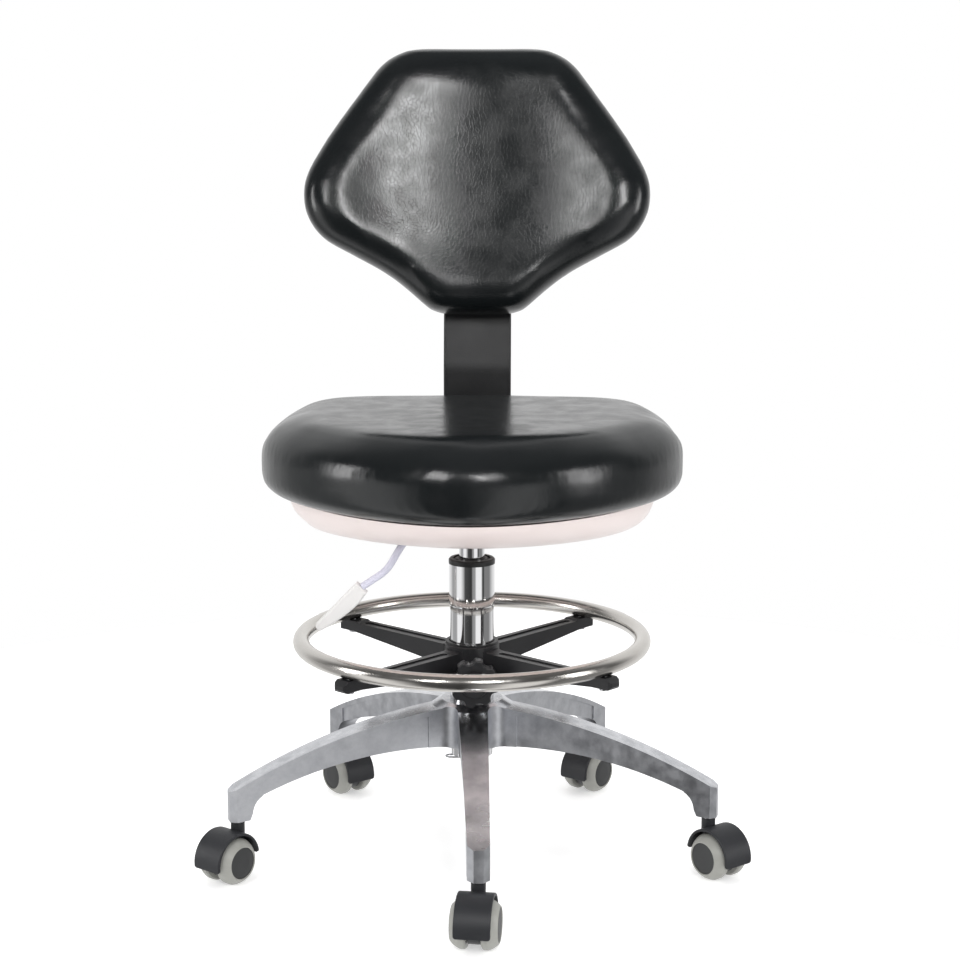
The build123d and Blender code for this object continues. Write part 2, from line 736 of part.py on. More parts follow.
with BuildPart() as footring_sleeve:
    with BuildSketch(Plane.XZ):
        with BuildLine():
            Polyline(
                (COLUMN_RADIUS + RUNNING_FIT, SPIDER_HUB_BOTTOM - SLEEVE_END),
                (SLEEVE_FLANGE, SPIDER_HUB_BOTTOM - SLEEVE_END),
                (SLEEVE_FLANGE, SPIDER_HUB_BOTTOM - SMALL_GAP),
                (SLEEVE_OUTER, SPIDER_HUB_BOTTOM - SMALL_GAP),
                (SLEEVE_OUTER, SPIDER_HUB_TOP + SMALL_GAP),
                (SLEEVE_FLANGE, SPIDER_HUB_TOP + SMALL_GAP),
                (SLEEVE_FLANGE, SPIDER_HUB_TOP + SLEEVE_END),
                (COLUMN_RADIUS + RUNNING_FIT, SPIDER_HUB_TOP + SLEEVE_END),
                close=True,
            )
        make_face()
    revolve(axis=Axis.Z)
finish(footring_sleeve.part, "footring_sleeve")

RING_BOTTOM = RING_LEVEL - RING_TUBE_RADIUS
SPIDER_BORE = SLEEVE_OUTER + RUNNING_FIT
knob_way = direction(RING_KNOB_DIRECTION)
with BuildPart() as footring_hub:
    with BuildSketch(Plane.XZ):
        with BuildLine():
            Polyline(
                (ARM_ROOT_RADIUS, SPIDER_HUB_TOP - ARM_SHOULDER_RISE),
                (ARM_SHOULDER_RADIUS, RING_BOTTOM - ARM_TOP_GAP),
                (RING_RADIUS - SADDLE_START, RING_BOTTOM - ARM_TOP_GAP),
                (RING_RADIUS - SADDLE_END, RING_BOTTOM),
                (ARM_REACH - TIP_CURL, RING_BOTTOM),
                (ARM_REACH, RING_BOTTOM - TIP_CURL_DROP),
                (ARM_REACH, ARM_TIP_BOTTOM + ARM_TIP_FACET),
                (ARM_REACH - ARM_TIP_FACET, ARM_TIP_BOTTOM),
                (RING_RADIUS - TIP_KEEL, ARM_TIP_BOTTOM),
                (ARM_SHOULDER_RADIUS, ARM_ROOT_BOTTOM),
                (ARM_ROOT_RADIUS, ARM_ROOT_BOTTOM - ARM_SHOULDER_RISE),
                close=True,
            )
        make_face()
    revolve(axis=Axis.Z)
    with BuildSketch() as spider_plan:
        with PolarLocations(0, ARM_COUNT, start_angle=ARM_ANGLES[0]):
            outline = arm_outline(
                0, ARM_REACH, ARM_ROOT_HALF_WIDTH, ARM_TIP_HALF_WIDTH, ARM_TIP_FACET
            )
            Polygon(*outline, align=None)
        Circle(ARM_ROOT_RADIUS + 1)
        Circle(ARM_ROOT_RADIUS, mode=Mode.SUBTRACT)
        web_corners = spider_plan.vertices().filter_by(
            lambda corner: abs(corner.center().length - ARM_ROOT_RADIUS - 1) < 0.01
        )
        fillet(web_corners, radius=ARM_WEB_FILLET)
    extrude(amount=SPIDER_HUB_TOP, mode=Mode.INTERSECT)
    with BuildSketch(Plane.XY.offset(RING_BOTTOM - ARM_TOP_GAP - ARM_GROOVE_DEPTH)):
        with PolarLocations(0, ARM_COUNT, start_angle=ARM_ANGLES[0]):
            with Locations((RING_RADIUS / 2 + GROOVE_SHIFT, 0)):
                SlotOverall(RING_RADIUS - GROOVE_END_MARGIN, 2 * ARM_GROOVE_HALF_WIDTH)
    extrude(amount=4 * ARM_GROOVE_DEPTH, mode=Mode.SUBTRACT)
    with BuildSketch(Plane.XZ):
        with BuildLine():
            Polyline(
                (SPIDER_BORE, SPIDER_HUB_BOTTOM),
                (SPIDER_HUB_RADIUS, SPIDER_HUB_BOTTOM),
                (SPIDER_HUB_RADIUS, SPIDER_HUB_TOP - 1),
                (SPIDER_HUB_RADIUS - 1, SPIDER_HUB_TOP),
                (SPIDER_BORE, SPIDER_HUB_TOP),
                close=True,
            )
        make_face()
    revolve(axis=Axis.Z)
    boss_base = Plane(knob_way * RING_KNOB_BOSS_START + Vector(0, 0, RING_KNOB_LEVEL), z_dir=knob_way)
    with BuildSketch(boss_base):
        Circle(RING_KNOB_BOSS_RADIUS)
    extrude(amount=RING_KNOB_BOSS_END - RING_KNOB_BOSS_START)
    with BuildSketch(boss_base.offset(-SPIDER_BORE / 4)):
        Circle(STUD_RADIUS + RUNNING_FIT)
    extrude(amount=RING_KNOB_BOSS_END, mode=Mode.SUBTRACT)
    with BuildSketch(Plane.XY.offset(SPIDER_HUB_BOTTOM)):
        with PolarLocations(RING_RADIUS, ARM_COUNT, start_angle=ARM_ANGLES[0]):
            Circle(SCREW_RADIUS)
    extrude(amount=SPIDER_HUB_TOP - SPIDER_HUB_BOTTOM, mode=Mode.SUBTRACT)
finish(footring_hub.part, "footring_hub")

with BuildPart() as footring_screws:
    with BuildSketch(Plane.XY.offset(ARM_TIP_BOTTOM - SCREW_HEAD_HEIGHT)):
        with PolarLocations(RING_RADIUS, ARM_COUNT, start_angle=ARM_ANGLES[0]):
            Circle(SCREW_HEAD_RADIUS)
    extrude(amount=SCREW_HEAD_HEIGHT)
    with BuildSketch(Plane.XY.offset(ARM_TIP_BOTTOM)):
        with PolarLocations(RING_RADIUS, ARM_COUNT, start_angle=ARM_ANGLES[0]):
            Circle(SCREW_RADIUS)
    extrude(amount=RING_BOTTOM + SCREW_BITE - ARM_TIP_BOTTOM)
finish(footring_screws.part, "footring_screws")


def make_knob(base, radius, depth, stud_length):
    """A lobed clamp knob on the base plane, growing along its normal, with its stud going back."""
    grip_start = depth * KNOB_GRIP_START
    grip_end = depth * (KNOB_GRIP_START + KNOB_GRIP_DEPTH)
    with BuildPart() as knob:
        with BuildSketch(base.offset(grip_start)):
            Circle(radius)
            with PolarLocations(radius * KNOB_NOTCH_PLACE, KNOB_LOBES, start_angle=90 / KNOB_LOBES):
                Circle(radius * KNOB_NOTCH_SHARE, mode=Mode.SUBTRACT)
        extrude(amount=grip_end - grip_start)
        fillet(knob.edges(), radius=radius * KNOB_ROUND_SHARE)
        with BuildSketch(base):
            Circle(radius * KNOB_NECK_SHARE)
        extrude(amount=grip_start * 1.2)
        with BuildSketch(base.offset(grip_end)):
            Circle(radius * KNOB_CAP_SHARE)
        extrude(amount=depth - grip_end, taper=KNOB_CAP_TAPER)
        with BuildSketch(base.offset(-stud_length)):
            Circle(STUD_RADIUS)
        extrude(amount=stud_length + grip_start / 2)
    return knob.part


ring_knob_base = Plane(
    knob_way * (RING_KNOB_BOSS_END + SMALL_GAP) + Vector(0, 0, RING_KNOB_LEVEL), z_dir=knob_way
)
ring_stud = RING_KNOB_BOSS_END - SLEEVE_OUTER - SMALL_GAP
finish(make_knob(ring_knob_base, RING_KNOB_RADIUS, RING_KNOB_DEPTH, ring_stud), "footring_knob")


# ---- Seat ----

def seat_outline(half_width, front, rear):
    """Lines of the seat's plan outline: pointed curves to the front, full curves to the rear."""
    depth = SEAT_WIDEST_Y - front
    back = rear - SEAT_WIDEST_Y
    Bezier(
        (half_width, SEAT_WIDEST_Y),
        (half_width, SEAT_WIDEST_Y - FRONT_FULLNESS * depth),
        (FRONT_FULLNESS * half_width, front),
        (0, front),
    )
    Bezier(
        (half_width, SEAT_WIDEST_Y),
        (half_width, SEAT_WIDEST_Y + REAR_FULLNESS * back),
        (REAR_FULLNESS * half_width, rear),
        (0, rear),
    )
    mirror(about=Plane.YZ)


def pan_body(inset):
    """The pan as a solid bowl, shrunk and raised by an inset."""
    with BuildPart() as bowl:
        for height, half_width, front, rear in PAN_LEVELS:
            with BuildSketch(Plane.XY.offset(height + inset)):
                with BuildLine():
                    seat_outline(half_width - inset, front + inset, rear - inset)
                make_face()
        loft()
    return bowl.part


with BuildPart() as seat_pan:
    add(pan_body(0))
    add(pan_body(PAN_WALL), mode=Mode.SUBTRACT)
    with BuildSketch(Plane.XY.offset(PAN_HOLES_SPAN[0])):
        Circle(PAN_COLUMN_HOLE)
        with Locations((LEVER_HOLE_X, LEVER_SIDE_Y)):
            SlotOverall(*LEVER_HOLE)
        with Locations((0, DEPTH_KNOB_Y)):
            SlotOverall(*DEPTH_KNOB_SLOT, rotation=90)
    extrude(amount=PAN_HOLES_SPAN[1] - PAN_HOLES_SPAN[0], mode=Mode.SUBTRACT)
    with BuildSketch(Plane.XZ.offset(-REAR_OPENING_SPAN[0])):
        with Locations((0, REAR_OPENING_LEVEL)):
            Rectangle(*REAR_OPENING)
    extrude(amount=REAR_OPENING_SPAN[0] - REAR_OPENING_SPAN[1], mode=Mode.SUBTRACT)
finish(seat_pan.part, "seat_pan")

with BuildPart() as seat_board:
    with BuildSketch(Plane.XY.offset(BOARD_BOTTOM)):
        with BuildLine():
            seat_outline(BOARD_HALF_WIDTH, BOARD_FRONT, BOARD_REAR)
        make_face()
        with GridLocations(BOLT_SPACING_X, BOLT_SPACING_Y, 2, 2):
            Circle(SCREW_RADIUS, mode=Mode.SUBTRACT)
    extrude(amount=BOARD_THICKNESS)
finish(seat_board.part, "seat_board")

with BuildPart() as seat_cushion:
    with BuildSketch(Plane.XY.offset(SEAT_BOTTOM)):
        with BuildLine():
            seat_outline(SEAT_HALF_WIDTH, SEAT_FRONT, SEAT_REAR)
        make_face()
    extrude(amount=SEAT_TOP - SEAT_BOTTOM)
    fillet(seat_cushion.edges().group_by(Axis.Z)[-1], radius=SEAT_TOP_ROUND)
    fillet(seat_cushion.edges().group_by(Axis.Z)[0], radius=SEAT_BOTTOM_ROUND)
finish(seat_cushion.part, "seat_cushion")

with BuildPart() as seat_bolts:
    with BuildSketch(Plane.XY.offset(PLATE_BOTTOM)):
        with GridLocations(BOLT_SPACING_X, BOLT_SPACING_Y, 2, 2):
            Circle(SCREW_RADIUS)
    extrude(amount=SEAT_BOTTOM - 1 - PLATE_BOTTOM)
    with BuildSketch(Plane.XY.offset(PLATE_BOTTOM - SCREW_HEAD_HEIGHT)):
        with GridLocations(BOLT_SPACING_X, BOLT_SPACING_Y, 2, 2):
            Circle(SCREW_HEAD_RADIUS)
    extrude(amount=SCREW_HEAD_HEIGHT)
finish(seat_bolts.part, "seat_bolts")

BAR_SPACE = BAR_THICKNESS / 2 + BAR_SIDE_GAP
BAR_SPACE_HALF_WIDTH = BAR_HALF_WIDTH + BAR_SIDE_GAP
with BuildPart() as seat_mechanism:
    with BuildSketch(Plane.XY.offset(PLATE_BOTTOM)):
        with Locations((0, (PLATE_FRONT + PLATE_REAR) / 2)):
            RectangleRounded(2 * PLATE_HALF_WIDTH, PLATE_REAR - PLATE_FRONT, PLATE_CORNER)
        with Locations((0, (PLATE_REAR - GUIDE_OVERLAP + GUIDE_REAR) / 2)):
            Rectangle(2 * GUIDE_HALF_WIDTH, GUIDE_REAR - PLATE_REAR + GUIDE_OVERLAP)
        with GridLocations(BOLT_SPACING_X, BOLT_SPACING_Y, 2, 2):
            Circle(SCREW_RADIUS, mode=Mode.SUBTRACT)
    extrude(amount=PLATE_THICKNESS)
    with BuildSketch(Plane.XY.offset(WEB_BOTTOM)):
        for wall_y in (WALL_HALF_GAP + WALL_THICKNESS / 2, -WALL_HALF_GAP - WALL_THICKNESS / 2):
            with Locations(((WALL_FRONT_X + WALL_REAR_X) / 2, wall_y)):
                Rectangle(WALL_FRONT_X - WALL_REAR_X, WALL_THICKNESS)
    extrude(amount=PLATE_BOTTOM - WEB_BOTTOM)
    with BuildSketch(Plane.XY.offset(WEB_BOTTOM)):
        with Locations(((WALL_FRONT_X + WALL_REAR_X) / 2, 0)):
            Rectangle(WALL_FRONT_X - WALL_REAR_X, 2 * WALL_HALF_GAP)
    extrude(amount=WEB_THICKNESS)
    with BuildSketch(Plane.XY.offset(WEB_BOTTOM)):
        Circle(SOCKET_RADIUS)
    extrude(amount=CYLINDER_TOP - WEB_BOTTOM)
    with BuildSketch(Plane.XZ):
        with BuildLine():
            Polyline(
                (0, WEB_BOTTOM - 1),
                (CYLINDER_RADIUS, WEB_BOTTOM - 1),
                (CYLINDER_RADIUS, CYLINDER_TAPER_START),
                (CYLINDER_TOP_RADIUS, CYLINDER_TOP),
                (0, CYLINDER_TOP),
                close=True,
            )
        make_face()
    revolve(axis=Axis.Z, mode=Mode.SUBTRACT)
    with BuildSketch(Plane.XZ):
        with Locations((LEVER_PIVOT_X, LEVER_LEVEL)):
            Circle(LEVER_PIVOT_RADIUS)
    extrude(amount=LEVER_PIVOT_HALF_LENGTH, both=True)
    with BuildSketch(Plane.XZ.offset(-PLATE_REAR)):
        with Locations((0, (GUIDE_BOTTOM + PLATE_BOTTOM) / 2)):
            Rectangle(2 * GUIDE_HALF_WIDTH, PLATE_BOTTOM - GUIDE_BOTTOM)
        with Locations((0, BAR_LEVEL)):
            Rectangle(2 * BAR_SPACE_HALF_WIDTH, 2 * BAR_SPACE, mode=Mode.SUBTRACT)
    extrude(amount=-(GUIDE_REAR - PLATE_REAR))
    with BuildSketch(Plane.XY.offset(GUIDE_BOTTOM - 1)):
        with Locations((0, DEPTH_KNOB_Y)):
            Circle(STUD_RADIUS + RUNNING_FIT)
    extrude(amount=BAR_LEVEL - GUIDE_BOTTOM, mode=Mode.SUBTRACT)
finish(seat_mechanism.part, "seat_mechanism")


# ---- Release lever ----

with BuildPart() as lever_rod:
    with BuildLine() as lever_line:
        FilletPolyline(*LEVER_ROUTE, radius=LEVER_BENDS)
    with BuildSketch(Plane(lever_line.line @ 0, z_dir=lever_line.line % 0)):
        Circle(LEVER_ROD_RADIUS)
    sweep(path=lever_line.line)
    with BuildSketch(Plane.XZ):
        with Locations((LEVER_PIVOT_X, LEVER_LEVEL)):
            Circle(LEVER_PIVOT_RADIUS + RUNNING_FIT)
    extrude(amount=2 * LEVER_ROD_RADIUS, both=True, mode=Mode.SUBTRACT)
finish(lever_rod.part, "lever_rod")

handle_start = Vector(*LEVER_ROUTE[-1])
handle_way = Vector(*HANDLE_TIP) - handle_start
handle_length = handle_way.length
handle_level_side = handle_way.cross(Vector(0, 1, 0))
handle_face = Plane(handle_start, x_dir=handle_way, z_dir=handle_level_side.cross(handle_way))


def along_handle(corner):
    """A point of the handle's outline, from its share of the length and its offset."""
    share, offset_across = corner
    return (handle_length * share, offset_across)


with BuildPart() as lever_handle:
    with BuildSketch(handle_face):
        with BuildLine():
            Polyline((0, HANDLE_MOUTH), (0, -HANDLE_MOUTH), along_handle(HANDLE_HEEL))
            Bezier(*[along_handle(p) for p in (HANDLE_HEEL, HANDLE_BELLY, HANDLE_TAPER, HANDLE_TOE)])
            ThreePointArc(*[along_handle(p) for p in (HANDLE_TOE, HANDLE_END, HANDLE_BACK)])
            Line(along_handle(HANDLE_BACK), (0, HANDLE_MOUTH))
        make_face()
    extrude(amount=HANDLE_THICKNESS / 2, both=True)
    fillet(lever_handle.faces().filter_by(handle_face).edges(), radius=HANDLE_ROUND)
    add(lever_rod.part, mode=Mode.SUBTRACT)
finish(lever_handle.part, "lever_handle")


# ---- Back bar ----

lean = Vector(0, sin(radians(BACK_LEAN)), cos(radians(BACK_LEAN)))
bar_top = Vector(0, BAR_UPRIGHT_Y, BAR_KINK_Z) + lean * ((BAR_TOP_Z - BAR_KINK_Z) / lean.Z)
cover_top = Vector(0, BAR_UPRIGHT_Y, BAR_KINK_Z) + lean * ((COVER_TOP_Z - BAR_KINK_Z) / lean.Z)

with BuildPart() as back_bar:
    with BuildLine() as bar_line:
        FilletPolyline(
            (0, BAR_FRONT_Y, BAR_LEVEL),
            (0, BAR_UPRIGHT_Y, BAR_LEVEL),
            (0, BAR_UPRIGHT_Y, BAR_KINK_Z),
            bar_top,
            radius=(BAR_LOW_BEND, BAR_HIGH_BEND),
        )
    with BuildSketch(Plane(bar_line.line @ 0, x_dir=(1, 0, 0), z_dir=bar_line.line % 0)):
        Rectangle(2 * BAR_HALF_WIDTH, BAR_THICKNESS)
    sweep(path=bar_line.line)
finish(back_bar.part, "back_bar")

with BuildPart() as back_bar_cover:
    with BuildLine() as cover_line:
        FilletPolyline(
            (0, BAR_UPRIGHT_Y, COVER_BOTTOM_Z),
            (0, BAR_UPRIGHT_Y, BAR_KINK_Z),
            cover_top,
            radius=BAR_HIGH_BEND,
        )
    with BuildSketch(Plane(cover_line.line @ 0, x_dir=(1, 0, 0), z_dir=cover_line.line % 0)):
        RectangleRounded(2 * COVER_HALF_WIDTH, COVER_THICKNESS, COVER_CORNER)
        for hand in (1, -1):
            with Locations((0, hand * COVER_THICKNESS / 2)):
                Rectangle(
                    2 * (COVER_HALF_WIDTH - COVER_BORDER), 2 * COVER_RECESS, mode=Mode.SUBTRACT
                )
        Rectangle(2 * BAR_HALF_WIDTH, BAR_THICKNESS, mode=Mode.SUBTRACT)
    sweep(path=cover_line.line)
finish(back_bar_cover.part, "back_bar_cover")

depth_knob_base = Plane(Vector(0, DEPTH_KNOB_Y, DEPTH_KNOB_TOP), z_dir=(0, 0, -1))
depth_stud = BAR_LEVEL - BAR_SPACE - DEPTH_KNOB_TOP - SMALL_GAP
finish(make_knob(depth_knob_base, SMALL_KNOB_RADIUS, SMALL_KNOB_DEPTH, depth_stud), "back_depth_knob")


# ---- Backrest ----

# The pad's own frame: x across, y up the lean, z forwards through the pad
pad_frame = Plane(
    (0, PAD_CENTRE_Y, PAD_CENTRE_Z), x_dir=(1, 0, 0), z_dir=Vector(1, 0, 0).cross(lean)
)
# A level section of the pad: x across, y backwards
pad_section = Plane(pad_frame.origin, x_dir=(1, 0, 0), z_dir=lean).offset(PAD_BOTTOM - PAD_TRIM)


def pad_outline():
    """Lines of the pad's outline: bowed upper sides, full side corners and hollow lower sides."""
    FilletPolyline((0, PAD_BOTTOM), *PAD_CORNERS, (0, PAD_TOP), radius=PAD_CORNER_ROUNDS)
    mirror(about=Plane.YZ)


with BuildPart() as backrest_cushion:
    with BuildSketch(pad_section):
        with Locations((0, -PAD_CURVE_RADIUS)):
            Circle(PAD_CURVE_RADIUS + PAD_THICKNESS / 2)
            Circle(PAD_CURVE_RADIUS - PAD_THICKNESS / 2, mode=Mode.SUBTRACT)
    extrude(amount=PAD_TOP - PAD_BOTTOM + 2 * PAD_TRIM)
    with BuildSketch(pad_frame):
        with BuildLine():
            pad_outline()
        make_face()
    extrude(amount=2 * PAD_THICKNESS, both=True, mode=Mode.INTERSECT)
    outer_faces = backrest_cushion.faces().sort_by(SortBy.AREA)[-2:]
    fillet(outer_faces.edges(), radius=PAD_EDGE_ROUND)
finish(backrest_cushion.part, "backrest_cushion")

with BuildPart() as backrest_shell:
    with BuildSketch(pad_section):
        with Locations((0, -PAD_CURVE_RADIUS)):
            Circle(PAD_CURVE_RADIUS + PAD_THICKNESS / 2 + SHELL_THICKNESS)
            Circle(PAD_CURVE_RADIUS + PAD_THICKNESS / 2, mode=Mode.SUBTRACT)
    extrude(amount=PAD_TOP - PAD_BOTTOM + 2 * PAD_TRIM)
    with BuildSketch(pad_frame):
        with BuildLine():
            pad_outline()
        make_face()
        offset(amount=-SHELL_INSET)
    extrude(amount=2 * PAD_THICKNESS, both=True, mode=Mode.INTERSECT)
finish(backrest_shell.part, "backrest_shell")

# Distances backwards from the pad's middle, square to its lean
bar_behind = (BAR_UPRIGHT_Y - PAD_CENTRE_Y) + (PAD_CENTRE_Z - BAR_KINK_Z) * tan(radians(BACK_LEAN))
bar_depth = bar_behind * cos(radians(BACK_LEAN))
shell_back = PAD_THICKNESS / 2 + SHELL_THICKNESS
bracket_back = bar_depth + BAR_SPACE + BRACKET_BACK_WALL
bracket_frame = Plane(pad_frame.origin, x_dir=(1, 0, 0), z_dir=lean).offset(BRACKET_RISE)


def bracket_screw_points():
    """Where the bracket's screws go through its front wall, in the pad's frame."""
    for across in (BRACKET_SCREW_X, -BRACKET_SCREW_X):
        for along in (BRACKET_SCREW_HEIGHT, -BRACKET_SCREW_HEIGHT):
            yield (across, along + BRACKET_RISE)


with BuildPart() as backrest_bracket:
    with BuildSketch(bracket_frame):
        with Locations((0, (shell_back + bracket_back) / 2)):
            Rectangle(2 * BRACKET_HALF_WIDTH, bracket_back - shell_back)
        with Locations((0, bar_depth)):
            Rectangle(2 * BAR_SPACE_HALF_WIDTH, 2 * BAR_SPACE, mode=Mode.SUBTRACT)
    extrude(amount=BRACKET_HALF_HEIGHT, both=True)
    upright_edges = backrest_bracket.edges().filter_by(Axis(pad_frame.origin, lean))
    fillet(upright_edges.group_by(Axis.Y)[-1], radius=BRACKET_ROUND)
    height_stud_plane = pad_frame.offset(-bracket_back)
    with BuildSketch(height_stud_plane):
        Circle(STUD_RADIUS + RUNNING_FIT)
    extrude(amount=BRACKET_BACK_WALL + BAR_SPACE, mode=Mode.SUBTRACT)
    add(backrest_shell.part, mode=Mode.SUBTRACT)
    with BuildSketch(height_stud_plane):
        with Locations(*bracket_screw_points()):
            Circle(SCREW_RADIUS)
    extrude(amount=bracket_back - shell_back, mode=Mode.SUBTRACT)
finish(backrest_bracket.part, "backrest_bracket")

height_knob_base = Plane(
    pad_frame.origin - pad_frame.z_dir * (bracket_back + SMALL_GAP), z_dir=-pad_frame.z_dir
)
height_knob = make_knob(height_knob_base, SMALL_KNOB_RADIUS, SMALL_KNOB_DEPTH, BRACKET_BACK_WALL)
finish(height_knob, "back_height_knob")

with BuildPart() as backrest_screws:
    with BuildSketch(pad_frame.offset(-bracket_back)):
        with Locations(*bracket_screw_points()):
            Circle(SCREW_HEAD_RADIUS)
    extrude(amount=-SCREW_HEAD_HEIGHT)
    with BuildSketch(pad_frame.offset(-bracket_back)):
        with Locations(*bracket_screw_points()):
            Circle(SCREW_RADIUS)
    extrude(amount=bracket_back - shell_back)
finish(backrest_screws.part, "backrest_screws")
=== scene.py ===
"""Looks for the dentist's stool: leather cushions, metal and plastic finishes, studio and camera."""

import json
import math

import bpy
import bmesh
import numpy as np
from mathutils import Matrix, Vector


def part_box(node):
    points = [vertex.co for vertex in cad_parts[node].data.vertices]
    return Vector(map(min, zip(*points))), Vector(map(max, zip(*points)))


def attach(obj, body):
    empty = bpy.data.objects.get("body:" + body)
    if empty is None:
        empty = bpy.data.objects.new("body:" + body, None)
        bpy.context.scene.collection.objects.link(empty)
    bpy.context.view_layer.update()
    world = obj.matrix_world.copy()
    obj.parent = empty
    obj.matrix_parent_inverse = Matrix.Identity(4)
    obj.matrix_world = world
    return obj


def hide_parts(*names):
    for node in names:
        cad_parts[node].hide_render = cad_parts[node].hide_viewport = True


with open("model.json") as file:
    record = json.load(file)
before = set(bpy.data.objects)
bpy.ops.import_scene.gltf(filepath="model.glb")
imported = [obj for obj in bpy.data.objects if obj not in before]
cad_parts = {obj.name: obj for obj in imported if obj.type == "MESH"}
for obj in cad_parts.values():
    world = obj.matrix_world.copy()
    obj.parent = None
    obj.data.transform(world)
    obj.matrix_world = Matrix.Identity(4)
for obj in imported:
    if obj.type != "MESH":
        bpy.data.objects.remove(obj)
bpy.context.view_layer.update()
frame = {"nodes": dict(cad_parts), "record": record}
nodes = frame["nodes"]

# Camera, fitted to the column, the foot ring and the casters
CAMERA_PLACE = (0.063, -2.166, 0.791)
CAMERA_TURN = (math.radians(80.26), 0.0, math.radians(1.43))
CAMERA_LENS = 75.7
SENSOR_WIDTH = 36.0

# Floor: a disc that glows a little to the camera and to rough surfaces, so that it ends in the white
FLOOR_RADIUS = 1.15
FLOOR_SIDES = 96
FLOOR_GLOW = 0.42

# Surround: how bright it is to the camera and to rough surfaces
WHITE_SURROUND = 1.0
SOFT_SURROUND = 0.55
# What mirrors see of it: bearing in degrees from the camera's side (-Y) towards +X, and its brightness,
# below and above the horizon
STUDIO_LOW = (
    (-180, 1.0),
    (-130, 0.8),
    (-112, 0.4),
    (-86, 0.4),
    (-78, 1.0),
    (-56, 1.0),
    (-42, 0.5),
    (-33, 0.08),
    (0, 0.04),
    (6, 0.30),
    (18, 0.36),
    (24, 1.0),
    (50, 1.0),
    (57, 0.05),
    (63, 0.06),
    (69, 0.24),
    (100, 0.24),
    (116, 0.6),
    (135, 0.85),
    (180, 1.0),
)
STUDIO_HIGH = (
    (-180, 0.95),
    (-130, 0.8),
    (-105, 0.12),
    (-60, 0.07),
    (60, 0.07),
    (105, 0.12),
    (130, 0.8),
    (180, 0.95),
)
CEILING_LIGHT = 0.15
# Height of a ray's direction where the low panels give way to the high ones, and those to the ceiling
HORIZON_BAND = (-0.06, 0.04)
CEILING_BAND = (0.6, 0.9)

# Soft lights: name, place, what it is aimed at, width and height, watts, seen by mirrors
LIGHTS = (
    ("overhead", (0.0, 0.2, 2.6), (0.0, 0.0, 0.0), (2.2, 1.6), 34, False),
    ("front_key", (0.50, -2.5, 1.60), (0.0, 0.1, 0.75), (0.42, 0.75), 20, True),
    ("front_fill", (-1.05, -2.4, 1.60), (0.0, 0.1, 0.75), (0.34, 0.9), 14, True),
    ("side_left", (-2.35, -0.55, 0.85), (0.0, 0.0, 0.45), (0.5, 1.2), 12, True),
    ("side_right", (2.2, -0.85, 0.75), (0.0, 0.0, 0.45), (0.5, 1.2), 12, True),
)

# Cushions: the even mesh that the cover is simulated on
VOXEL = 0.005
SMOOTH_ROUNDS = 3
# The cover as cloth, its run, and how its movement is evened out and capped (metres)
PRESSURE = 4.0
BENDING_STIFFNESS = 10
SIM_FRAMES = 20
EVEN_ROUNDS = 60
SWELL_CAP = 0.004
# A face that looks towards its board by this cosine is held; it is free once the cosine is a band lower
HELD_FACING = 0.6
HELD_BAND = 0.9
# How far the backrest leans back (degrees), and the shallow hollow in its front (metres)
BACK_LEAN = 10.5
HOLLOW_HALF_WIDTH = 0.20
HOLLOW_HALF_HEIGHT = 0.15
HOLLOW_DEPTH = 0.009
# Rounds of easing of each pad's edges
BACK_SOFTENING = 12
SEAT_SOFTENING = 3
# How much fuller the padded covers are than their CAD solids: across and along
SEAT_FULLNESS = (1.02, 1.01)
BACK_FULLNESS = (1.005, 1.015)

# Ways in the part's frame
ACROSS = (1.0, 0.0, 0.0)
DEEP = (0.0, 1.0, 0.0)
DOWN = (0.0, 0.0, -1.0)

# A noise texture's values lie mostly between these
NOISE_LOW = 0.3
NOISE_HIGH = 0.7

# Places of a mix node's sockets, whose names repeat: the two numbers or colours, and the result
MIX_NUMBERS = (2, 3)
MIX_COLOURS = (6, 7)
MIX_COLOUR_RESULT = 2


# ---- Small helpers for node trees ----

def blend(tree, factor, first, second):
    """Goes from one value to another; each may be a number or a socket."""
    node = tree.nodes.new("ShaderNodeMix")
    tree.links.new(factor, node.inputs[0])
    for place, value in zip(MIX_NUMBERS, (first, second)):
        if isinstance(value, float):
            node.inputs[place].default_value = value
        else:
            tree.links.new(value, node.inputs[place])
    return node.outputs[0]


def rising(tree, value, band):
    """0 below a band of values, 1 above it and a straight ramp within it."""
    node = tree.nodes.new("ShaderNodeMapRange")
    node.inputs["From Min"].default_value, node.inputs["From Max"].default_value = band
    tree.links.new(value, node.inputs["Value"])
    return node.outputs[0]


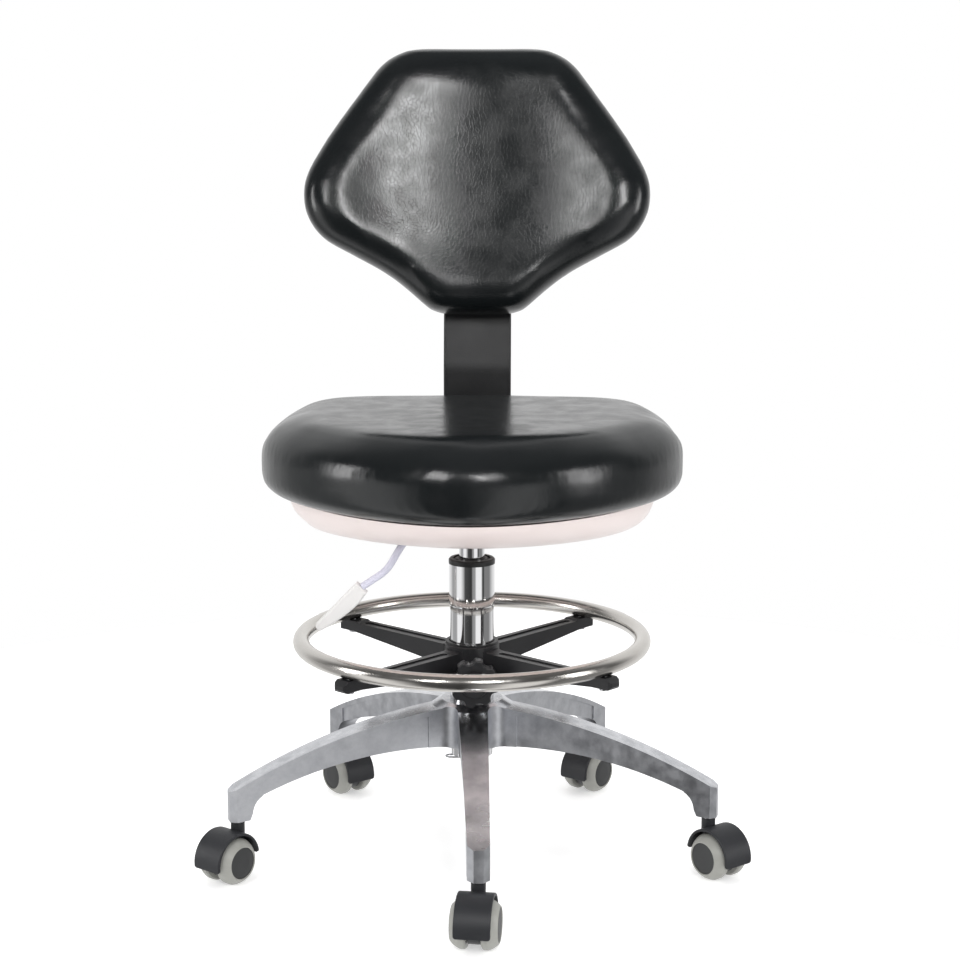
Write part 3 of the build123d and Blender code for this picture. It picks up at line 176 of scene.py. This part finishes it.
class Shader:
    """A material's node tree with short calls for the nodes the finishes share."""

    def __init__(self, name):
        self.material = bpy.data.materials.new(name)
        self.material.use_nodes = True
        self.tree = self.material.node_tree
        self.surface = self.tree.nodes["Principled BSDF"]
        self.place = self.tree.nodes.new("ShaderNodeTexCoord").outputs["Object"]

    def set(self, **values):
        """Sets constant sockets of the surface shader, named with _ for a space."""
        for socket, value in values.items():
            self.surface.inputs[socket.replace("_", " ")].default_value = value

    def link(self, source, target):
        """Connects two sockets."""
        self.tree.links.new(source, target)

    def noise(self, scale, detail=4.0, roughness=0.5, place=None):
        """A cloudy pattern, with its scale in features per metre."""
        node = self.tree.nodes.new("ShaderNodeTexNoise")
        node.inputs["Scale"].default_value = scale
        node.inputs["Detail"].default_value = detail
        node.inputs["Roughness"].default_value = roughness
        self.link(place or self.place, node.inputs["Vector"])
        return node.outputs["Fac"]

    def cells(self, scale, feature="F1"):
        """Distance within small cells, with their scale in cells per metre."""
        node = self.tree.nodes.new("ShaderNodeTexVoronoi")
        node.feature = feature
        node.inputs["Scale"].default_value = scale
        self.link(self.place, node.inputs["Vector"])
        return node.outputs["Distance"]

    def stretched(self, factors):
        """The object coordinates scaled by a factor on each axis."""
        node = self.tree.nodes.new("ShaderNodeVectorMath")
        node.operation = "MULTIPLY"
        node.inputs[1].default_value = factors
        self.link(self.place, node.inputs[0])
        return node.outputs["Vector"]

    def ramp(self, source, low, high, start=0.0, end=1.0):
        """Maps a value from start..end to low..high."""
        node = self.tree.nodes.new("ShaderNodeMapRange")
        node.inputs["From Min"].default_value = start
        node.inputs["From Max"].default_value = end
        node.inputs["To Min"].default_value = low
        node.inputs["To Max"].default_value = high
        self.link(source, node.inputs["Value"])
        return node.outputs["Result"]

    def spread(self, noise, low, high):
        """Maps a noise to low..high."""
        return self.ramp(noise, low, high, NOISE_LOW, NOISE_HIGH)

    def mix(self, factor, first, second):
        """A colour between two constant colours."""
        node = self.tree.nodes.new("ShaderNodeMix")
        node.data_type = "RGBA"
        self.link(factor, node.inputs[0])
        for place, colour in zip(MIX_COLOURS, (first, second)):
            node.inputs[place].default_value = (*colour, 1.0)
        return node.outputs[MIX_COLOUR_RESULT]

    def bump(self, height, strength, distance):
        """Adds a bump, this far out in metres, on top of those already there."""
        node = self.tree.nodes.new("ShaderNodeBump")
        node.inputs["Strength"].default_value = strength
        node.inputs["Distance"].default_value = distance
        self.link(height, node.inputs["Height"])
        if self.surface.inputs["Normal"].is_linked:
            self.link(self.surface.inputs["Normal"].links[0].from_socket, node.inputs["Normal"])
        self.link(node.outputs["Normal"], self.surface.inputs["Normal"])

    def colour(self, source):
        """Feeds the surface's colour."""
        self.link(source, self.surface.inputs["Base Color"])

    def roughness(self, source):
        """Feeds the surface's roughness."""
        self.link(source, self.surface.inputs["Roughness"])

    def facing_up(self):
        """How far the surface faces upwards, in the object's frame."""
        normal = self.tree.nodes.new("ShaderNodeTexCoord").outputs["Normal"]
        split = self.tree.nodes.new("ShaderNodeSeparateXYZ")
        self.link(normal, split.inputs[0])
        return split.outputs["Z"]


# ---- Finishes ----

def leather():
    """Black vinyl leather: fine pebbled grain, thin upright wrinkles and a soft shine."""
    s = Shader("black_leather")
    shade = s.noise(9.0, detail=3.0)
    s.colour(s.mix(shade, (0.0050, 0.0064, 0.0070), (0.0085, 0.0105, 0.0114)))
    folds = s.ramp(s.cells(230.0, "DISTANCE_TO_EDGE"), 0.0, 1.0, start=0.0, end=0.12)
    worn = s.noise(40.0, detail=5.0)
    s.roughness(s.ramp(worn, 0.19, 0.27, start=0.35, end=0.65))
    s.bump(folds, strength=0.10, distance=0.0003)
    s.bump(s.cells(700.0), strength=0.06, distance=0.0002)
    wrinkles = s.noise(330.0, detail=3.0, roughness=0.6, place=s.stretched((1.0, 1.0, 0.6)))
    s.bump(wrinkles, strength=0.09, distance=0.0004)
    s.set(Specular_IOR_Level=0.6)
    return s.material


def polished_aluminium():
    """Cast aluminium: buffed bright on top, satin and slightly mottled on the flanks."""
    s = Shader("polished_aluminium")
    up = s.ramp(s.facing_up(), 0.0, 1.0, start=0.45, end=0.8)
    mottle = s.noise(60.0, detail=5.0, roughness=0.6)
    streak = s.noise(14.0, detail=3.0, roughness=0.5, place=s.stretched((1.0, 1.0, 6.0)))
    flank = s.spread(mottle, 0.34, 0.5)
    top = s.spread(streak, 0.18, 0.3)
    s.roughness(blend(s.tree, up, flank, top))
    tone = s.ramp(mottle, 0.0, 1.0, start=0.35, end=0.65)
    s.colour(s.mix(tone, (0.54, 0.55, 0.58), (0.72, 0.73, 0.76)))
    s.bump(s.noise(420.0, detail=3.0), strength=0.06, distance=0.0002)
    s.set(Metallic=1.0)
    return s.material


def chrome():
    """Hard chrome with faint polishing marks round the tube."""
    s = Shader("chrome")
    marks = s.noise(900.0, detail=2.0, roughness=0.5, place=s.stretched((0.02, 0.02, 1.0)))
    s.roughness(s.spread(marks, 0.03, 0.08))
    s.colour(s.mix(s.noise(20.0), (0.78, 0.78, 0.79), (0.86, 0.86, 0.87)))
    s.bump(marks, strength=0.02, distance=0.0001)
    s.set(Metallic=1.0)
    return s.material


def stainless():
    """Polished stainless tube, slightly warm, with soft buffing waves."""
    s = Shader("stainless")
    waves = s.noise(26.0, detail=3.0, roughness=0.5)
    s.roughness(s.spread(waves, 0.17, 0.27))
    s.colour(s.mix(waves, (0.60, 0.57, 0.53), (0.76, 0.74, 0.71)))
    s.bump(s.noise(600.0, detail=2.0), strength=0.04, distance=0.0001)
    s.set(Metallic=1.0)
    return s.material


def steel(name, tone, rough):
    """Zinc-plated or bare steel of small fittings."""
    s = Shader(name)
    marks = s.noise(300.0, detail=3.0)
    s.roughness(s.spread(marks, rough - 0.08, rough + 0.08))
    s.colour(s.mix(marks, tuple(0.85 * t for t in tone), tone))
    s.bump(marks, strength=0.05, distance=0.0001)
    s.set(Metallic=1.0)
    return s.material


def plastic(name, low, high, rough, grain_scale, grain_depth, sheen=0.5):
    """Moulded plastic with a spark-eroded grain: grain_scale in cells per metre."""
    s = Shader(name)
    grain = s.noise(grain_scale, detail=3.0, roughness=0.6)
    patches = s.noise(24.0, detail=3.0)
    s.colour(s.mix(patches, low, high))
    s.roughness(s.spread(patches, rough - 0.06, rough + 0.06))
    s.bump(grain, strength=grain_depth, distance=0.0004)
    s.set(Specular_IOR_Level=sheen)
    return s.material


def white_gloss():
    """Glossy injection-moulded shell, off-white with a pink cast."""
    s = Shader("white_gloss")
    patches = s.noise(12.0, detail=2.0)
    s.colour(s.mix(patches, (0.74, 0.655, 0.635), (0.78, 0.69, 0.67)))
    s.roughness(s.spread(s.noise(20.0, detail=2.0), 0.32, 0.38))
    s.bump(s.noise(500.0, detail=2.0), strength=0.02, distance=0.0001)
    s.set(Coat_Weight=0.15, Coat_Roughness=0.22)
    return s.material


def tread():
    """Grey polyurethane tread, satin, a little scuffed."""
    s = Shader("tread")
    scuffs = s.noise(160.0, detail=4.0, roughness=0.6)
    s.colour(s.mix(scuffs, (0.27, 0.27, 0.25), (0.34, 0.34, 0.315)))
    s.roughness(s.spread(scuffs, 0.32, 0.5))
    s.bump(scuffs, strength=0.12, distance=0.0003)
    return s.material


def plywood():
    """Raw plywood: long grain with darker plies."""
    s = Shader("plywood")
    grain = s.noise(30.0, detail=6.0, roughness=0.6, place=s.stretched((1.0, 9.0, 1.0)))
    s.colour(s.mix(grain, (0.42, 0.29, 0.16), (0.66, 0.50, 0.31)))
    s.roughness(s.spread(grain, 0.55, 0.75))
    s.bump(grain, strength=0.2, distance=0.0005)
    return s.material


# Darker and lighter tone, roughness, grain in cells per metre, depth of the grain and, if not 0.5, sheen
PLASTICS = {
    "black_steel": ((0.012, 0.012, 0.013), (0.02, 0.02, 0.021), 0.42, 900.0, 0.12),
    "hood_plastic": ((0.016, 0.017, 0.020), (0.026, 0.027, 0.031), 0.46, 1500.0, 0.35),
    "wheel_plastic": ((0.034, 0.035, 0.036), (0.046, 0.047, 0.048), 0.42, 900.0, 0.08),
    "black_plastic": ((0.007, 0.007, 0.008), (0.012, 0.012, 0.013), 0.40, 1100.0, 0.4),
    "black_nylon": ((0.010, 0.010, 0.011), (0.018, 0.018, 0.020), 0.36, 700.0, 0.12),
    "white_painted": ((0.68, 0.68, 0.80), (0.70, 0.70, 0.82), 0.25, 300.0, 0.02),
    "white_plastic": ((0.78, 0.77, 0.76), (0.80, 0.79, 0.78), 0.30, 500.0, 0.02),
}
FINISHES = {name: plastic(name, *look) for name, look in PLASTICS.items()}
FINISHES |= {
    "black_leather": leather(),
    "polished_aluminium": polished_aluminium(),
    "chrome": chrome(),
    "stainless": stainless(),
    "steel": steel("steel", (0.62, 0.62, 0.64), 0.28),
    "white_gloss": white_gloss(),
    "tread": tread(),
    "plywood": plywood(),
}


def dress(piece, finish):
    """Gives a piece one finish in place of whatever it holds."""
    piece.data.materials.clear()
    piece.data.materials.append(FINISHES[finish])


for part in frame["record"]["subparts"]:
    dress(nodes[part["node"]], part["material_slot"])


# ---- Cushions ----

def evaluated_mesh(piece):
    """The piece's mesh with its modifiers applied."""
    bpy.context.view_layer.update()
    shaped = piece.evaluated_get(bpy.context.evaluated_depsgraph_get())
    return bpy.data.meshes.new_from_object(shaped)


def bake(piece):
    """Applies the piece's modifiers to its mesh."""
    mesh = evaluated_mesh(piece)
    piece.modifiers.clear()
    piece.data = mesh


def points_of(mesh):
    """The mesh's vertices as an array."""
    flat = np.empty(len(mesh.vertices) * 3)
    mesh.vertices.foreach_get("co", flat)
    return flat.reshape(-1, 3)


def move_points(mesh, points):
    """Puts the mesh's vertices at the given places."""
    mesh.vertices.foreach_set("co", points.ravel())
    mesh.update()


def eased(ramp):
    """A straight ramp from 0 to 1 with soft ends."""
    return ramp * ramp * (3 - 2 * ramp)


def evened(mesh, field, rounds):
    """A field over the vertices, averaged with its neighbours again and again."""
    ends = np.empty(len(mesh.edges) * 2, int)
    mesh.edges.foreach_get("vertices", ends)
    ends = ends.reshape(-1, 2)
    count = np.zeros((len(mesh.vertices), 1))
    np.add.at(count, ends[:, 0], 1)
    np.add.at(count, ends[:, 1], 1)
    for _ in range(rounds):
        total = np.zeros_like(field)
        np.add.at(total, ends[:, 0], field[ends[:, 1]])
        np.add.at(total, ends[:, 1], field[ends[:, 0]])
        field = 0.5 * field + 0.5 * total / count
    return field


def swell(piece):
    """How far each point moves when the cover is blown up as sealed cloth, evened and capped."""
    start = points_of(piece.data)
    cloth = piece.modifiers.new("cover", "CLOTH")
    cloth.settings.use_pressure = True
    cloth.settings.uniform_pressure_force = PRESSURE
    cloth.settings.effector_weights.gravity = 0.0
    cloth.settings.bending_stiffness = BENDING_STIFFNESS
    cloth.point_cache.frame_end = SIM_FRAMES
    for step in range(1, SIM_FRAMES + 1):
        bpy.context.scene.frame_set(step)
    moved = points_of(evaluated_mesh(piece)) - start
    piece.modifiers.clear()
    bpy.context.scene.frame_set(1)
    moved = evened(piece.data, moved, EVEN_ROUNDS)
    reach = np.linalg.norm(moved, axis=1, keepdims=True)
    return moved * (SWELL_CAP / np.maximum(reach, SWELL_CAP))


def shape_weight(mesh, base_way):
    """1 on the faces that are free to swell, down to 0 on the face that rests on its board."""
    normals = np.empty(len(mesh.vertices) * 3)
    mesh.vertex_normals.foreach_get("vector", normals)
    facing = normals.reshape(-1, 3) @ np.array(base_way)
    return eased(np.clip((HELD_FACING - facing) / HELD_BAND, 0.0, 1.0))[:, None]


def dish(points, centre, across, along):
    """Depth of the shallow hollow at each point; it fades out before the rim."""
    offset = points - np.array(centre)
    u = offset @ np.array(across) / HOLLOW_HALF_WIDTH
    v = offset @ np.array(along) / HOLLOW_HALF_HEIGHT
    return (HOLLOW_DEPTH * eased(np.clip(1.0 - u * u - v * v, 0.0, 1.0)))[:, None]


def soften(mesh, weight, rounds):
    """Eases the edges of the weighted part of a pad, as foam under leather does."""
    points = points_of(mesh)
    move_points(mesh, points + weight * (evened(mesh, points, rounds) - points))


def fill_out(mesh, centre, across, along, fullness):
    """Stretches a pad from a point by one factor across and another along."""
    points = points_of(mesh)
    offset = points - np.array(centre)
    for way, factor in zip((across, along), fullness):
        points = points + (factor - 1.0) * (offset @ np.array(way))[:, None] * np.array(way)
    move_points(mesh, points)


def make_cushion(node, body, name, base_way):
    """A leather-covered pad grown from its plain CAD solid, before its final shaping."""
    pad = bpy.data.objects.new(name, nodes[node].data.copy())
    bpy.context.scene.collection.objects.link(pad)
    remesh = pad.modifiers.new("remesh", "REMESH")
    remesh.mode = "VOXEL"
    remesh.voxel_size = VOXEL
    smooth = pad.modifiers.new("smooth", "SMOOTH")
    smooth.iterations = SMOOTH_ROUNDS
    bake(pad)
    growth = swell(pad) * shape_weight(pad.data, base_way)
    move_points(pad.data, points_of(pad.data) + growth)
    dress(pad, "black_leather")
    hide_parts(node)
    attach(pad, body)
    return pad


def finish_cushion(pad):
    """Refines the pad's mesh once its shape is done."""
    pad.modifiers.new("finer", "SUBSURF").levels = 1
    bake(pad)
    pad.data.shade_smooth()


def make_seat_pad():
    """The round seat cushion, resting on the pan."""
    pad = make_cushion("seat_cushion", "seat", "seat_pad", DOWN)
    soften(pad.data, shape_weight(pad.data, DOWN), SEAT_SOFTENING)
    fill_out(pad.data, (0.0, 0.0, 0.0), ACROSS, DEEP, SEAT_FULLNESS)
    finish_cushion(pad)


def make_back_pad():
    """The leaning back cushion, with a shallow hollow in its front."""
    lean = math.radians(BACK_LEAN)
    rear = (0.0, math.cos(lean), -math.sin(lean))
    up = (0.0, math.sin(lean), math.cos(lean))
    pad = make_cushion("backrest_cushion", "backrest", "back_pad", rear)
    low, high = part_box("backrest_cushion")
    free_side = shape_weight(pad.data, rear)
    hollow = dish(points_of(pad.data), (low + high) / 2, ACROSS, up)
    move_points(pad.data, points_of(pad.data) + hollow * free_side * np.array(rear))
    soften(pad.data, free_side, BACK_SOFTENING)
    fill_out(pad.data, (0.0, (low[1] + high[1]) / 2, low[2]), ACROSS, up, BACK_FULLNESS)
    finish_cushion(pad)


make_seat_pad()
make_back_pad()


# ---- Studio ----

def seen_strength(tree, to_camera, to_rough, to_mirror):
    """A light strength that differs for the camera, for rough surfaces and for mirrors."""
    path = tree.nodes.new("ShaderNodeLightPath")
    beyond_camera = blend(tree, path.outputs["Is Diffuse Ray"], to_mirror, to_rough)
    return blend(tree, path.outputs["Is Camera Ray"], beyond_camera, to_camera)


def make_floor():
    """A round white floor under the stool, ending inside the white surround."""
    mesh = bpy.data.meshes.new("studio_floor")
    shape = bmesh.new()
    bmesh.ops.create_circle(shape, cap_ends=True, segments=FLOOR_SIDES, radius=FLOOR_RADIUS)
    shape.to_mesh(mesh)
    floor = bpy.data.objects.new("studio_floor", mesh)
    bpy.context.scene.collection.objects.link(floor)
    s = Shader("studio_floor")
    s.colour(s.mix(s.noise(3.0, detail=2.0), (0.90, 0.90, 0.90), (0.92, 0.92, 0.92)))
    s.set(Roughness=0.55, Specular_IOR_Level=0.2, Emission_Color=(1.0, 1.0, 1.0, 1.0))
    s.link(seen_strength(s.tree, FLOOR_GLOW, FLOOR_GLOW, 0.0), s.surface.inputs["Emission Strength"])
    mesh.materials.append(s.material)
    floor.visible_glossy = False


def add_light(name, place, target, size, power, mirrored):
    """A rectangular soft light aimed at a point, which mirrors may or may not see."""
    lamp = bpy.data.lights.new(name, "AREA")
    lamp.shape = "RECTANGLE"
    lamp.size, lamp.size_y = size
    lamp.energy = power
    light = bpy.data.objects.new(name, lamp)
    light.location = place
    light.visible_glossy = mirrored
    light.rotation_euler = (Vector(target) - Vector(place)).to_track_quat("-Z", "Y").to_euler()
    bpy.context.scene.collection.objects.link(light)


def bearing_ramp(tree, bearing, stops):
    """Brightness by compass bearing, from stops in degrees."""
    node = tree.nodes.new("ShaderNodeValToRGB")
    elements = node.color_ramp.elements
    while len(elements) < len(stops):
        elements.new(0.5)
    for element, (degrees, level) in zip(elements, stops):
        element.position = (degrees + 180) / 360
        element.color = (level, level, level, 1.0)
    tree.links.new(bearing, node.inputs["Fac"])
    return node.outputs["Color"]


def world_bearing(tree, direction):
    """The compass bearing of a direction, as 0..1 for -180..180 degrees."""
    towards_camera = tree.nodes.new("ShaderNodeMath")
    towards_camera.operation = "MULTIPLY"
    towards_camera.inputs[1].default_value = -1.0
    tree.links.new(direction["Y"], towards_camera.inputs[0])
    angle = tree.nodes.new("ShaderNodeMath")
    angle.operation = "ARCTAN2"
    tree.links.new(direction["X"], angle.inputs[0])
    tree.links.new(towards_camera.outputs[0], angle.inputs[1])
    return rising(tree, angle.outputs[0], (-math.pi, math.pi))


def studio_brightness(tree):
    """Brightness of the studio that mirrors see: panels all round, a pale back and a ceiling."""
    split = tree.nodes.new("ShaderNodeSeparateXYZ")
    tree.links.new(tree.nodes.new("ShaderNodeTexCoord").outputs["Generated"], split.inputs[0])
    bearing = world_bearing(tree, split.outputs)
    low_panels = bearing_ramp(tree, bearing, STUDIO_LOW)
    high_panels = bearing_ramp(tree, bearing, STUDIO_HIGH)
    walls = blend(tree, rising(tree, split.outputs["Z"], HORIZON_BAND), low_panels, high_panels)
    return blend(tree, rising(tree, split.outputs["Z"], CEILING_BAND), walls, CEILING_LIGHT)


def set_world():
    """A white surround to look at, over the studio that the metal and leather mirror."""
    world = bpy.data.worlds.new("studio")
    world.use_nodes = True
    tree = world.node_tree
    background = tree.nodes["Background"]
    strength = seen_strength(tree, WHITE_SURROUND, SOFT_SURROUND, studio_brightness(tree))
    tree.links.new(strength, background.inputs["Strength"])
    background.inputs["Color"].default_value = (1.0, 1.0, 1.0, 1.0)
    bpy.context.scene.world = world


def set_camera():
    """The camera the photo was matched with."""
    camera = bpy.data.objects.new("camera", bpy.data.cameras.new("camera"))
    camera.location = CAMERA_PLACE
    camera.rotation_euler = CAMERA_TURN
    camera.data.lens = CAMERA_LENS
    camera.data.sensor_width = SENSOR_WIDTH
    bpy.context.scene.collection.objects.link(camera)
    bpy.context.scene.camera = camera


make_floor()
set_world()
for light in LIGHTS:
    add_light(*light)
bpy.context.scene.view_settings.view_transform = "Standard"
set_camera()
